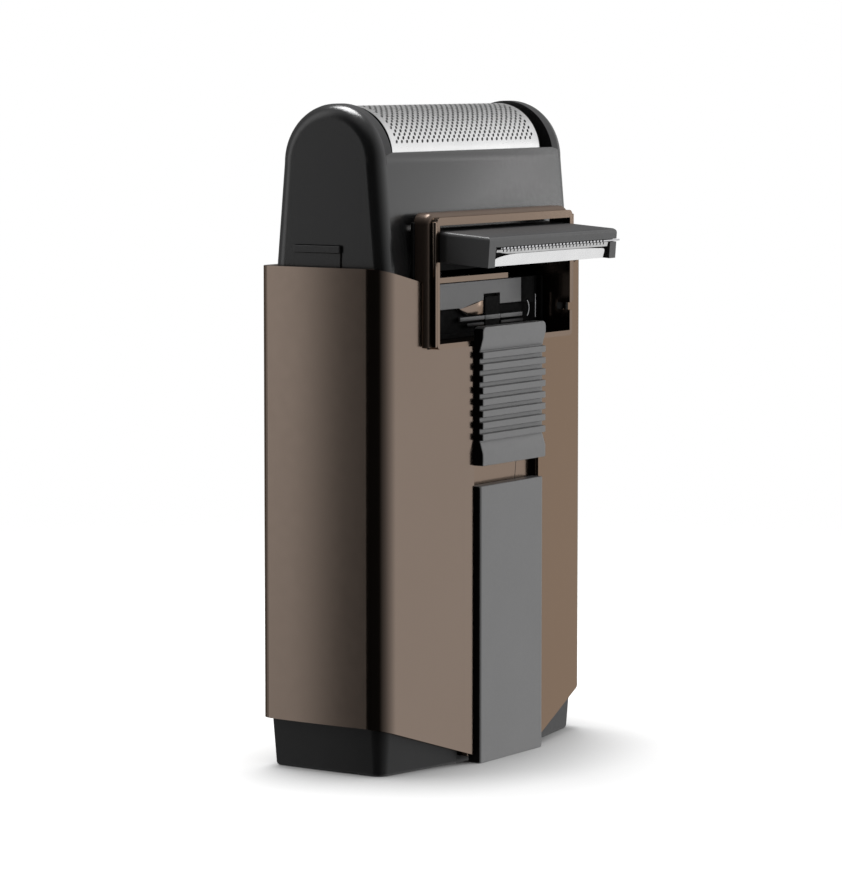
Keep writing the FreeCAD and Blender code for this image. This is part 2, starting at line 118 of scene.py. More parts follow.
def makeFinish(name, look):
    material, nodes, links, shader = startMaterial(name)
    cloud = addNoise(nodes, links, look["cloudScale"], 4.0)
    share = addRange(nodes, links, cloud.outputs["Fac"], 0.0, 1.0)
    tint = addTint(nodes, links, share, look["color"], look["colorVaried"])
    links.new(tint, shader.inputs["Base Color"])
    rough = addNoise(nodes, links, look["roughScale"], 5.0, look.get("stretch", (1, 1, 1)))
    low, high = look["roughness"]
    links.new(addRange(nodes, links, rough.outputs["Fac"], low, high), shader.inputs["Roughness"])
    grain = addNoise(nodes, links, look["grainScale"], 2.0, look.get("stretch", (1, 1, 1)))
    addBump(nodes, links, shader, grain.outputs["Fac"], look["grainDepth"])
    shader.inputs["Metallic"].default_value = look.get("metallic", 0.0)
    shader.inputs["IOR"].default_value = look.get("ior", 1.5)
    shader.inputs["Specular IOR Level"].default_value = look.get("specular", 0.5)
    shader.inputs["Specular Tint"].default_value = (*look.get("tint", (1, 1, 1)), 1)
    if "coat" in look:
        shader.inputs["Coat Weight"].default_value = look["coat"]
        shader.inputs["Coat Roughness"].default_value = look["coatRoughness"]
    return material


bronzeLook = {
    "color": (0.152, 0.119, 0.098), "colorVaried": (0.149, 0.116, 0.095), "metallic": 1.0,
    "roughness": (0.15, 0.18), "tint": (0.92, 0.76, 0.64), "cloudScale": 40, "roughScale": 500,
    "grainScale": 9000, "grainDepth": 0.0000012,
}
blackLook = {
    "color": (0.011, 0.011, 0.0115), "colorVaried": (0.014, 0.014, 0.0145), "roughness": (0.22, 0.27),
    "cloudScale": 90, "roughScale": 1500, "grainScale": 4200, "grainDepth": 0.000012,
}
trimmerLook = {
    "color": (0.042, 0.042, 0.043), "colorVaried": (0.047, 0.047, 0.048), "roughness": (0.34, 0.40),
    "cloudScale": 90, "roughScale": 1500, "grainScale": 4200, "grainDepth": 0.000010, "specular": 0.4,
}
# painted shade: a darker, duller copy of the trimmer plastic, put on the trimmer's top faces and the inner
# rims of the head ends so they read shaded; the lower bars and the mould line also take it
shadeAndDarkLook = {
    "color": (0.020, 0.020, 0.021), "colorVaried": (0.024, 0.024, 0.025), "roughness": (0.42, 0.50),
    "cloudScale": 90, "roughScale": 1500, "grainScale": 4200, "grainDepth": 0.000010, "specular": 0.25,
}
baseLook = {
    "color": (0.016, 0.016, 0.0165), "colorVaried": (0.019, 0.019, 0.0195), "roughness": (0.34, 0.40),
    "cloudScale": 90, "roughScale": 1500, "grainScale": 4200, "grainDepth": 0.000012, "specular": 0.15,
}
shoulderLook = {
    "color": (0.10, 0.074, 0.060), "colorVaried": (0.094, 0.069, 0.056), "metallic": 0.55,
    "roughness": (0.30, 0.36), "tint": (0.92, 0.76, 0.64), "cloudScale": 40, "roughScale": 500,
    "grainScale": 9000, "grainDepth": 0.0000012,
}
greyLook = {
    "color": (0.135, 0.135, 0.136), "colorVaried": (0.145, 0.145, 0.146), "roughness": (0.36, 0.44),
    "cloudScale": 90, "roughScale": 1500, "grainScale": 4200, "grainDepth": 0.000012,
}
steelLook = {
    "color": (0.62, 0.62, 0.62), "colorVaried": (0.57, 0.57, 0.575),
    "metallic": 1.0, "roughness": (0.22, 0.32),
    "cloudScale": 200, "roughScale": 700, "stretch": (1, 12, 12), "grainScale": 5000, "grainDepth": 0.000003,
}
combLook = {
    "color": (0.42, 0.42, 0.42), "colorVaried": (0.36, 0.36, 0.36),
    "metallic": 1.0, "roughness": (0.3, 0.4),
    "cloudScale": 300, "roughScale": 900, "stretch": (1, 12, 12), "grainScale": 5000, "grainDepth": 0.000003,
}
# matte near-black plastic for the slider catch, comb backing and guide post; on the left walls of the strip
# and slider, the recess tray, the head wall in the window, the tip slot wall, the frame shade bars and the
# tip slot sheet it is painted shade
matteAndShadeLook = {
    "color": (0.004, 0.004, 0.004), "colorVaried": (0.006, 0.006, 0.006), "roughness": (0.75, 0.9),
    "cloudScale": 90, "roughScale": 1500, "grainScale": 4200, "grainDepth": 0.000012, "specular": 0.12,
}
foilLook = {
    "color": (0.60, 0.60, 0.60), "colorVaried": (0.55, 0.55, 0.55),
    "metallic": 1.0, "roughness": (0.26, 0.34),
    "cloudScale": 150, "roughScale": 900, "stretch": (1, 6, 6), "grainScale": 6000, "grainDepth": 0.000002,
}
wireLook = {
    "color": (0.45, 0.45, 0.46), "colorVaried": (0.38, 0.38, 0.39),
    "metallic": 1.0, "roughness": (0.25, 0.4),
    "cloudScale": 300, "roughScale": 1500, "grainScale": 7000, "grainDepth": 0.000004,
}
whiteLook = {
    "color": (0.62, 0.62, 0.60), "colorVaried": (0.55, 0.55, 0.53), "roughness": (0.4, 0.5),
    "cloudScale": 80, "roughScale": 1200, "grainScale": 4000, "grainDepth": 0.00001,
}
wrapLook = {
    "color": (0.05, 0.16, 0.10), "colorVaried": (0.045, 0.14, 0.09), "roughness": (0.22, 0.3),
    "cloudScale": 70, "roughScale": 800, "grainScale": 3000, "grainDepth": 0.000006,
}
boardLook = {
    "color": (0.01, 0.10, 0.035), "colorVaried": (0.012, 0.13, 0.045), "roughness": (0.3, 0.42),
    "cloudScale": 400, "roughScale": 1500, "grainScale": 2500, "grainDepth": 0.00002,
}
lensLook = {
    "color": (0.45, 0.85, 0.55), "colorVaried": (0.4, 0.8, 0.5), "roughness": (0.15, 0.25),
    "cloudScale": 200, "roughScale": 900, "grainScale": 3000, "grainDepth": 0.000003,
}
bronze = makeFinish("bronzeLacquer", bronzeLook)
blackPlastic = makeFinish("blackSatinPlastic", blackLook)
trimmerPlastic = makeFinish("trimmerSatinPlastic", trimmerLook)
shadeAndDarkPlastic = makeFinish("shadeAndDarkPlastic", shadeAndDarkLook)
basePlastic = makeFinish("baseSatinPlastic", baseLook)
shoulderBronze = makeFinish("shoulderBronze", shoulderLook)
greyPlastic = makeFinish("greySatinPlastic", greyLook)
steel = makeFinish("groundSteel", steelLook)
combSteel = makeFinish("combSteel", combLook)
matteBlackAndShade = makeFinish("matteBlackAndShadePlastic", matteAndShadeLook)
foilSteel = makeFinish("foilSteel", foilLook)
wireSteel = makeFinish("springWire", wireLook)
whitePlastic = makeFinish("milkyPlastic", whiteLook)
wrapFilm = makeFinish("cellWrap", wrapLook)
boardMask = makeFinish("solderMask", boardLook)
lensPlastic = makeFinish("lampLens", lensLook)
print("materials made")


def link(obj):
    bpy.context.scene.collection.objects.link(obj)
    return obj


def paint(obj, material):
    obj.data.materials.clear()
    obj.data.materials.append(material)
    return obj


def meshFrom(name, verts, faces):
    mesh = bpy.data.meshes.new(name)
    mesh.from_pydata([tuple(v) for v in verts], [], faces)
    mesh.validate()
    return link(bpy.data.objects.new(name, mesh))


def applyModifiers(obj):
    graph = bpy.context.evaluated_depsgraph_get()
    mesh = bpy.data.meshes.new_from_object(obj.evaluated_get(graph))
    obj.modifiers.clear()
    obj.data = mesh
    return obj


def smoothByAngle(obj, degrees=35):
    obj.data.polygons.foreach_set("use_smooth", [True] * len(obj.data.polygons))
    obj.data.set_sharp_from_angle(angle=math.radians(degrees))
    return obj


def bevelEdges(obj, width, segments=3, angle=30):
    bevel = obj.modifiers.new("edge", "BEVEL")
    bevel.width = width
    bevel.segments = segments
    bevel.limit_method = "ANGLE"
    bevel.angle_limit = math.radians(angle)
    bevel.harden_normals = False
    bevel.use_clamp_overlap = True
    return applyModifiers(obj)


def refine(node, piece, material, width=0.25 * mm, segments=3, angle=30):
    # a rounded-edge copy of a CAD node that stands for it
    source = frame["nodes"][node]
    obj = link(bpy.data.objects.new(piece, source.data.copy()))
    work = bmesh.new()
    work.from_mesh(obj.data)
    bmesh.ops.remove_doubles(work, verts=work.verts, dist=1e-6)
    bmesh.ops.dissolve_limit(work, angle_limit=math.radians(0.6), verts=work.verts, edges=work.edges)
    work.to_mesh(obj.data)
    work.free()
    bevelEdges(obj, width, segments, angle)
    smoothByAngle(obj)
    weighted = obj.modifiers.new("flatFaces", "WEIGHTED_NORMAL")
    weighted.keep_sharp = True
    weighted.weight = 100
    applyModifiers(obj)
    paint(obj, material)
    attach(obj, source["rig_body"])
    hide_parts(node)
    return obj


def loftRows(name, rows, material, body, closed=False):
    # a skin over rows of points of equal length
    verts = [point for row in rows for point in row]
    width = len(rows[0])
    faces = []
    for row in range(len(rows) - 1):
        for index in range(width if closed else width - 1):
            after = (index + 1) % width
            low = row * width
            faces.append((low + index, low + after, low + width + after, low + width + index))
    if closed:
        faces.append(tuple(reversed(range(width))))
        faces.append(tuple(range((len(rows) - 1) * width, len(rows) * width)))
    obj = meshFrom(name, verts, faces)
    smoothByAngle(obj, 40)
    paint(obj, material)
    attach(obj, body)
    return obj


refined = [
    ("front_shell", "bronzeShell", bronze, "bronze_shell", 0.28),
    ("rear_cover", "rearShell", bronze, "bronze_shell", 0.28),
    ("base_cap", "footCap", basePlastic, "black_plastic", 0.3),
    ("front_strip", "frontStrip", greyPlastic, "grey_plastic", 0.22),
    # painted shade: the recess tray takes the matte near-black finish so the deep cavity behind the window
    # reads dark
    ("recess_tray", "recessTray", matteBlackAndShade, "black_plastic", 0.1),
    ("mechanism_plate", "mechanismPlate", greyPlastic, "grey_plastic", 0.12),
    ("slider", "thumbSlider", greyPlastic, "grey_plastic", 0.2),
    ("slider_carrier", "sliderCatch", matteBlackAndShade, "black_plastic", 0.12),
    ("trimmer_housing", "trimmerBody", trimmerPlastic, "black_plastic", 0.2),
    ("trimmer_blade", "trimmerBlade", wireSteel, "blade_steel", 0.03),
    ("head_housing", "headHousing", blackPlastic, "black_plastic", 0.35),
    ("release_button_left", "releaseButtonLeft", blackPlastic, "black_plastic", 0.12),
    ("release_button_right", "releaseButtonRight", blackPlastic, "black_plastic", 0.12),
    ("power_switch", "powerSwitch", blackPlastic, "black_plastic", 0.2),
    ("foil_frame", "foilFrame", blackPlastic, "black_plastic", 0.12),
    ("chassis", "innerChassis", blackPlastic, "black_plastic", 0.2),
    ("head_collar", "headCollar", blackPlastic, "black_plastic", 0.12),
]
pieces = {}
for node, piece, material, slot, width in refined:
    pieces[node] = refine(node, piece, material, width * mm)


def splitAcross(obj, height):
    # a seam in the plane of constant X, so that the parts can take different finishes; here it bounds the
    # painted shade on the cap rims
    work = bmesh.new()
    work.from_mesh(obj.data)
    bmesh.ops.bisect_plane(work, geom=work.verts[:] + work.edges[:] + work.faces[:],
                           plane_co=(height, 0, 0), plane_no=(1, 0, 0), dist=1e-7)
    work.to_mesh(obj.data)
    work.free()


def paintWhere(obj, material, wanted):
    # gives the faces that pass the test a second material
    obj.data.materials.append(material)
    index = len(obj.data.materials) - 1
    for polygon in obj.data.polygons:
        if wanted(polygon.center, polygon.normal):
            polygon.material_index = index


trimmerTilt = math.radians(4.2)


def onTrimmer(x, out, up):
    # a point given in mm along, out from and above the hinge line, with the trimmer opened
    y = -out * math.cos(trimmerTilt) - up * math.sin(trimmerTilt)
    z = -out * math.sin(trimmerTilt) + up * math.cos(trimmerTilt)
    return Vector((x * mm, hinge.y + y * mm, hinge.z + z * mm))


# painted shade: the left side walls of the strip and the slider take matte black, standing for the shade in
# the gap beside them
for node in ("front_strip", "slider"):
    paintWhere(pieces[node], matteBlackAndShade, lambda center, normal: normal.x < -0.8)
# painted shade: the trimmer's upward faces take the darker copy of its plastic
paintWhere(pieces["trimmer_housing"], shadeAndDarkPlastic, lambda center, normal: normal.z > 0.8)

# painted shade on refined pieces: the inner rims of the arched head ends take the darker trimmer-top copy,
# and the head wall behind the window and the wall of the slot for the tip of the trimmer blade take matte
# black
paintedShadeBounds = {
    "capInner": 24.9 * mm, "capSeam": 26.9 * mm, "capLow": 97.6 * mm,
    "mouthY": -10.6 * mm, "mouthHigh": 90 * mm,
    "slotY": -13.5 * mm, "slotX": (20.3 * mm, 22.8 * mm), "slotZ": (74.3 * mm, 75.9 * mm),
    "near": 0.1 * mm,
}


def onCapRim(center, normal):
    plan = paintedShadeBounds
    inBand = plan["capInner"] < abs(center.x) < plan["capSeam"]
    return inBand and center.z > plan["capLow"] and abs(normal.x) < 0.9


def onHeadMouth(center, normal):
    plan = paintedShadeBounds
    return normal.y < -0.9 and abs(center.y - plan["mouthY"]) < plan["near"] and center.z < plan["mouthHigh"]


def onTipSlot(center, normal):
    plan = paintedShadeBounds
    (leftX, rightX), (lowZ, highZ) = plan["slotX"], plan["slotZ"]
    onWall = abs(center.y - plan["slotY"]) < plan["near"]
    return onWall and leftX < center.x < rightX and lowZ < center.z < highZ


for side in (-1, 1):
    splitAcross(pieces["head_housing"], side * paintedShadeBounds["capSeam"])
# painted shade on the cap rims, the head wall in the window and the tip slot wall
paintWhere(pieces["head_housing"], shadeAndDarkPlastic, onCapRim)
paintWhere(pieces["head_housing"], matteBlackAndShade, onHeadMouth)
paintWhere(pieces["front_shell"], matteBlackAndShade, onTipSlot)
print("refined pieces made")

plain = {
    "charging_socket": steel, "hinge_pin": steel, "trimmer_spring": wireSteel, "motor": steel,
    "battery": wrapFilm, "battery_contact_low": wireSteel, "battery_contact_high": wireSteel,
    "circuit_board": boardMask, "charge_light": lensPlastic,
    "case_screw_left": steel, "case_screw_right": steel,
    "motor_crank": steel, "oscillator": whitePlastic, "cutter_spring_left": wireSteel,
    "cutter_spring_right": wireSteel, "cutter_block": whitePlastic, "cutter_blades": steel,
    "button_spring_left": wireSteel, "button_spring_right": wireSteel,
}
for node, material in plain.items():
    paint(frame["nodes"][node], material)
    smoothByAngle(frame["nodes"][node])


combPlan = {
    "faceHigh": (12.3, 0.28), "faceLow": (11.7, -2.25), "thick": 0.3, "teeth": 30, "pitch": 1.1,
    "slot": 0.15, "slotFoot": 0.10, "left": -18.0, "right": 17.4, "top": 0.5,
    "backingTop": 0.45, "backingFoot": -2.2, "backingSunk": (0.45, 0.62),
}


def onCombFace(x, up, sunk=0.0):
    (outHigh, upHigh), (outLow, upLow) = combPlan["faceHigh"], combPlan["faceLow"]
    out = outHigh if up > upHigh else outLow + (outHigh - outLow) * (up - upLow) / (upHigh - upLow)
    return onTrimmer(x, out - sunk, up)


def combSheet(name, outline, material):
    # a thin sheet on the sloping face of the comb from an outline of (x, up)
    count, thick = len(outline), combPlan["thick"]
    verts = [onCombFace(x, up) for x, up in outline] + [onCombFace(x, up, thick) for x, up in outline]
    faces = [tuple(range(count)), tuple(reversed(range(count, 2 * count)))]
    faces += [(k, (k + 1) % count, count + (k + 1) % count, count + k) for k in range(count)]
    obj = meshFrom(name, verts, faces)
    work = bmesh.new()
    work.from_mesh(obj.data)
    bmesh.ops.recalc_face_normals(work, faces=work.faces)
    bmesh.ops.triangulate(work, faces=[face for face in work.faces if len(face.verts) > 4])
    work.to_mesh(obj.data)
    work.free()
    smoothByAngle(obj)
    paint(obj, material)
    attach(obj, "trimmer")
    return obj


def makeComb():
    plan = combPlan
    left, right, top = plan["left"], plan["right"], plan["top"]
    strip = [(left, 0.12), (left + 1.0, 0.10), (left + 2.2, -0.08), (left + 3.6, -0.20),
             (left + 5.0, -0.24), (right, -0.24), (right, top)]
    for index in reversed(range(plan["teeth"])):
        x = (index - (plan["teeth"] - 1) / 2) * plan["pitch"]
        strip += [(x + plan["slot"], top), (x + plan["slot"], plan["slotFoot"]),
                  (x - plan["slot"], plan["slotFoot"]), (x - plan["slot"], top)]
    strip.append((left, top))
    comb = combSheet("trimmerComb", strip, combSteel)
    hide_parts("trimmer_comb")
    plate = [(left, -2.25), (left, -1.25), (left + 0.25, -0.98), (left + 0.8, -0.80),
             (left + 2.2, -0.58), (left + 4.2, -0.38), (left + 6.4, -0.30), (8.0, -0.30),
             (12.5, -0.40), (15.8, -0.52), (16.5, -0.62), (16.85, -0.85), (16.95, -1.2), (16.95, -2.25)]
    combSheet("trimmerBevel", plate, steel)
    high, foot = plan["backingTop"], plan["backingFoot"]
    backing = [(left, foot), (left, high), (right, high), (right, foot)]
    verts = [onCombFace(x, up, sunk) for sunk in plan["backingSunk"] for x, up in backing]
    faces = [(0, 1, 2, 3), (7, 6, 5, 4)] + [(k, (k + 1) % 4, 4 + (k + 1) % 4, 4 + k) for k in range(4)]
    obj = meshFrom("combBacking", verts, faces)
    smoothByAngle(obj)
    paint(obj, matteBlackAndShade)
    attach(obj, "trimmer")


makeComb()
print("comb made")


foilPlan = {
    "radius": 8.45 * mm, "thickness": 0.10 * mm, "columns": 28, "rows": 34,
    "holeLong": 0.38, "holeWide": 0.27, "sideBorder": 1.0 * mm, "frontBorder": 1.45 * mm,
}


def makeFoil():
    plan = foilPlan
    radius = plan["radius"]
    center = foilHigh.z - radius
    lowTurn = math.asin((foilLow.z - center) / radius)
    arc = (math.pi - 2 * lowTurn) * radius
    spanX = foilHigh.x - foilLow.x
    columns, rows = plan["columns"], plan["rows"]
    cellX = (spanX - 2 * plan["sideBorder"]) / (columns + 0.5)
    cellS = (arc - 2 * plan["frontBorder"]) / rows
    # the holes lean along the diagonal of the staggered rows
    lean = math.atan2(cellS, cellX / 2)
    verts, faces, seen = [], [], {}

    def put(x, s):
        key = (round(x * 1e7), round(s * 1e7))
        if key not in seen:
            turn = lowTurn + s / radius
            seen[key] = len(verts)
            verts.append((x, -radius * math.cos(turn), center + radius * math.sin(turn)))
        return seen[key]

    leftX = foilLow.x + plan["sideBorder"]
    for row in range(rows):
        low = plan["frontBorder"] + row * cellS
        shift = 0.5 * cellX * (row % 2)
        for column in range(columns):
            x0 = leftX + shift + column * cellX
            midX, midS = x0 + cellX / 2, low + cellS / 2
            x1, high = x0 + cellX, low + cellS
            ring = [put(x0, low), put(midX, low), put(x1, low), put(x1, midS),
                    put(x1, high), put(midX, high), put(x0, high), put(x0, midS)]
            hole = []
            for index in range(8):
                turn = math.radians(225 + 45 * index) - lean
                far, near = plan["holeLong"] * mm * math.cos(turn), plan["holeWide"] * mm * math.sin(turn)
                hole.append(put(midX + far * math.cos(lean) - near * math.sin(lean),
                                midS + far * math.sin(lean) + near * math.cos(lean)))
            for index in range(8):
                after = (index + 1) % 8
                faces.append((ring[index], ring[after], hole[after], hole[index]))
        # half cells close the row at both ends
        halfX = leftX if row % 2 else leftX + columns * cellX
        innerX, middle, high = halfX + cellX / 2, low + cellS / 2, low + cellS
        faces.append((put(halfX, low), put(innerX, low), put(innerX, middle),
                      put(innerX, high), put(halfX, high), put(halfX, middle)))
        for x0, x1 in ((foilLow.x, leftX), (foilHigh.x - plan["sideBorder"], foilHigh.x)):
            faces.append((put(x0, low), put(x1, low), put(x1, low + cellS / 2), put(x1, low + cellS),
                          put(x0, low + cellS), put(x0, low + cellS / 2)))
    # plain strips along the two long edges
    steps = [leftX + index * cellX / 2 for index in range(2 * columns + 2)]
    line = [foilLow.x] + steps + [foilHigh.x]
    for start, end in ((0, plan["frontBorder"]), (arc - plan["frontBorder"], arc)):
        for part in range(3):
            s0 = start + (end - start) * part / 3
            s1 = start + (end - start) * (part + 1) / 3
            for index in range(len(line) - 1):
                faces.append((put(line[index], s0), put(line[index + 1], s0),
                              put(line[index + 1], s1), put(line[index], s1)))
    foil = meshFrom("shavingFoil", verts, faces)
    thick = foil.modifiers.new("thickness", "SOLIDIFY")
    thick.thickness = plan["thickness"]
    thick.offset = -1
    applyModifiers(foil)
    smoothByAngle(foil, 40)
    paint(foil, foilSteel)
    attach(foil, "head")
    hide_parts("foil")
    return foil


makeFoil()
print("foil made")


shoulderPlan = {
    "half": 21.3 * mm, "low": 70.4 * mm, "high": 91.5 * mm, "corner": 1.0 * mm,
    "section": ((-0.2, -14.9), (0.3, -14.88), (0.62, -14.68), (0.83, -14.35), (0.9, -13.9),
                (0.9, -12.05), (-0.2, -12.05)),
    "gap": (74.3 * mm, 76.0 * mm),
}


def makeShoulder(name, path):
    # a strip along points and outward directions in the plane of the window, its section (out, y) in mm
    section = shoulderPlan["section"]
    rows = [[(x + out * mm * nx, y * mm, z + out * mm * nz) for out, y in section] for x, z, nx, nz in path]
    loftRows(name, rows, shoulderBronze, "body", closed=True)


def mmPoint(x, y, z):
    return (x * mm, y * mm, z * mm)


def roundedBar(name, plan):
    x0, y0, z0 = plan["low"]
    x1, y1, z1 = plan["high"]
    corners = [(y0, z0), (y0, z1), (y1, z1), (y1, z0)]
    rows = [[(x, y, z) for y, z in corners] for x in (x0, x1)]
    obj = loftRows(name, rows, plan["finish"], plan.get("body", "body"), closed=True)
    bevelEdges(obj, plan.get("radius", 0.12 * mm), 3)
    return smoothByAngle(obj)


def makeBulge(plan):
    # a bulging tab with a slanted top that narrows to the left
    rows, steps = [], 20
    for step in range(steps + 1):
        share = step / steps
        x = plan["left"] + (plan["right"] - plan["left"]) * share
        high = plan["tipZ"] + 0.02 * mm + (plan["topZ"] - plan["tipZ"]) * share
        low = max(plan["footZ"], plan["tipZ"] - (x - plan["left"]) * plan["footSlope"])
        y = plan["back"] - plan["rise"] * math.sin(math.pi * share ** 1.4)
        sunk = plan["back"] + 0.3 * mm
        rows.append([(x, sunk, low), (x, y, low), (x, y, high), (x, sunk, high)])
    obj = loftRows("springBoss", rows, bronze, "body", closed=True)
    bevelEdges(obj, 0.06 * mm, 2, 60)
    return smoothByAngle(obj)


def makePost(plan):
    rows, steps = [], 24
    turns = [math.pi * step / steps for step in range(steps + 1)]
    for z in (plan["low"], plan["high"]):
        rows.append([(plan["x"] - plan["halfX"] * math.cos(turn),
                      plan["back"] - plan["rise"] * math.sin(turn), z) for turn in turns])
    return loftRows("guidePost", rows, matteBlackAndShade, "body", closed=True)


def makeWire(name, points, radius, material, body):
    curve = bpy.data.curves.new(name, "CURVE")
    curve.dimensions = "3D"
    curve.bevel_depth = radius
    curve.bevel_resolution = 3
    curve.use_fill_caps = True
    spline = curve.splines.new("POLY")
    spline.points.add(len(points) - 1)
    for slot, point in zip(spline.points, points):
        slot.co = (*point, 1)
    shape = link(bpy.data.objects.new(name + "Curve", curve))
    graph = bpy.context.evaluated_depsgraph_get()
    mesh = bpy.data.meshes.new_from_object(shape.evaluated_get(graph))
    bpy.data.objects.remove(shape)
    obj = link(bpy.data.objects.new(name, mesh))
    smoothByAngle(obj, 50)
    paint(obj, material)
    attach(obj, body)
    return obj


def shoulderPaths():
    half, low, high, corner = (shoulderPlan[key] for key in ("half", "low", "high", "corner"))
    inner = half - corner
    top = high - corner
    left = [(-half, low, -1, 0), (-half, top, -1, 0)]
    for step in range(1, 8):
        turn = math.pi - math.pi / 2 * step / 8
        outX, outZ = math.cos(turn), math.sin(turn)
        left.append((-inner + corner * outX, top + corner * outZ, outX, outZ))
    left.append((-inner, high, 0, 1))
    right = [(-x, z, -nx, nz) for x, z, nx, nz in reversed(left)]
    gapLow, gapHigh = shoulderPlan["gap"]
    upper = left + right[:-1] + [(half, gapHigh, 1, 0)]
    lower = [(half, gapLow, 1, 0), (half, low, 1, 0)]
    return upper, lower


upperPath, lowerPath = shoulderPaths()
makeShoulder("windowShoulder", upperPath)
makeShoulder("windowShoulderLow", lowerPath)
print("shoulder made")

bossPlan = {
    "left": -5.9 * mm, "right": 1.45 * mm, "tipZ": 75.75 * mm, "topZ": 77.0 * mm, "footZ": 74.66 * mm,
    "footSlope": 0.42, "back": -10.6 * mm, "rise": 0.24 * mm,
}
postPlan = {
    "x": 16.3 * mm, "halfX": 2.6 * mm, "back": -9.2 * mm, "rise": 1.55 * mm,
    "low": 75.9 * mm, "high": 80.3 * mm,
}
wallX = stripHigh.x + 0.15 * mm
bars = {
    "springBarLeft": {
        "low": mmPoint(-6.0, -10.75, 73.65), "high": mmPoint(1.65, -10.2, 74.4), "finish": greyPlastic},
    "springBarRight": {
        "low": mmPoint(6.55, -10.75, 73.65), "high": mmPoint(13.7, -10.2, 74.4), "finish": greyPlastic},
    "catchRidge": {
        "low": mmPoint(1.75, -10.79, 73.65), "high": mmPoint(6.45, -10.68, 74.4), "finish": greyPlastic,
        "body": "slider", "radius": 0.04 * mm},
    "lowerBarLeft": {
        "low": mmPoint(-3.9, -10.75, 72.75), "high": mmPoint(1.45, -10.3, 73.3), "finish": shadeAndDarkPlastic},
    "lowerBarRight": {
        "low": mmPoint(6.75, -10.75, 72.75), "high": mmPoint(13.9, -10.3, 73.3), "finish": shadeAndDarkPlastic},
    # painted shade: matte black bars beside the frame stand for the shadow the frame casts on the head front
    "frameShadeLeft": {
        "low": mmPoint(-22.7, -12.3, 81.0), "high": mmPoint(-21.3, -11.78, 90.9), "finish": matteBlackAndShade},
    "frameShadeRight": {
        "low": mmPoint(21.3, -12.3, 81.0), "high": mmPoint(22.7, -11.78, 90.9), "finish": matteBlackAndShade},
    "windowRimLeft": {
        "low": mmPoint(-21.8, -16.1, 70.5), "high": mmPoint(-21.25, -15.3, 91.0), "finish": bronze},
    "windowRimRight": {
        "low": mmPoint(21.25, -16.1, 76.0), "high": mmPoint(21.8, -15.3, 91.0), "finish": bronze},
    "channelRib": {
        "low": (wallX - 0.14 * mm, -15.78 * mm, 46.0 * mm),
        "high": (wallX + 0.05 * mm, -15.56 * mm, 53.0 * mm), "finish": bronze, "radius": 0.03 * mm},
}
# painted shade: a thin matte black sheet just in front of the facet at the outer end of the tip slot stands
# for its shadow
tipSlotShadePlan = {
    "low": mmPoint(22.5, -14.05, 74.35), "high": mmPoint(23.3, -13.7, 75.95), "finish": matteBlackAndShade,
    "radius": 0.03 * mm,
}
mouldPlan = {
    "inset": 5.15 * mm, "bow": 0.5 * mm, "turnStep": 7, "y": -14.9 * mm, "top": 50.4, "drop": 0.3,
    "points": 13, "radius": 0.04 * mm,
}
wirePlan = {
    "radius": 0.13 * mm, "y": -10.6 * mm, "nearX": 15.9 * mm, "bow": 3.2 * mm, "middleZ": 74.9 * mm,
    "tall": 2.4 * mm, "swing": 35, "steps": 12, "farX": 18.0 * mm, "farFoot": 73.2, "farStep": 0.4,
    "farPoints": 11,
}


def makeMouldLine(plan):
    points = []
    for step in range(plan["points"]):
        bow = plan["bow"] * (1 - math.cos(math.radians(plan["turnStep"] * step)))
        points.append((wallX - plan["inset"] - bow, plan["y"], (plan["top"] - plan["drop"] * step) * mm))
    makeWire("mouldLine", points, plan["radius"], shadeAndDarkPlastic, "body")


def makeReturnWires(plan):
    near = []
    for step in range(plan["steps"] + 1):
        turn = math.radians(-plan["swing"] + 2 * plan["swing"] * step / plan["steps"])
        x = plan["nearX"] - plan["bow"] * (1 - math.cos(turn))
        near.append((x, plan["y"], plan["middleZ"] + plan["tall"] * math.sin(turn)))
    makeWire("returnWireNear", near, plan["radius"], wireSteel, "body")
    far = []
    for step in range(plan["farPoints"]):
        far.append((plan["farX"], plan["y"], (plan["farFoot"] + plan["farStep"] * step) * mm))
    makeWire("returnWireFar", far, plan["radius"], wireSteel, "body")


makeBulge(bossPlan)
makePost(postPlan)
for name, plan in bars.items():
    roundedBar(name, plan)
makeMouldLine(mouldPlan)
# painted shade sheet at the end of the tip slot
roundedBar("tipSlotShade", tipSlotShadePlan)
makeReturnWires(wirePlan)
print("window parts made")


# the floor's glow is cut by ambient occlusion near the foot, a painted contact shadow: reach, dark, light and
# falloff shape it
floorPlan = {
    "radius": 0.42, "rings": 6, "spokes": 48, "fadeStart": 0.10, "fadeEnd": 0.34, "reach": 0.022,
    "dark": 0.0, "light": 0.56, "falloff": 1.6, "tone": 0.42,
}


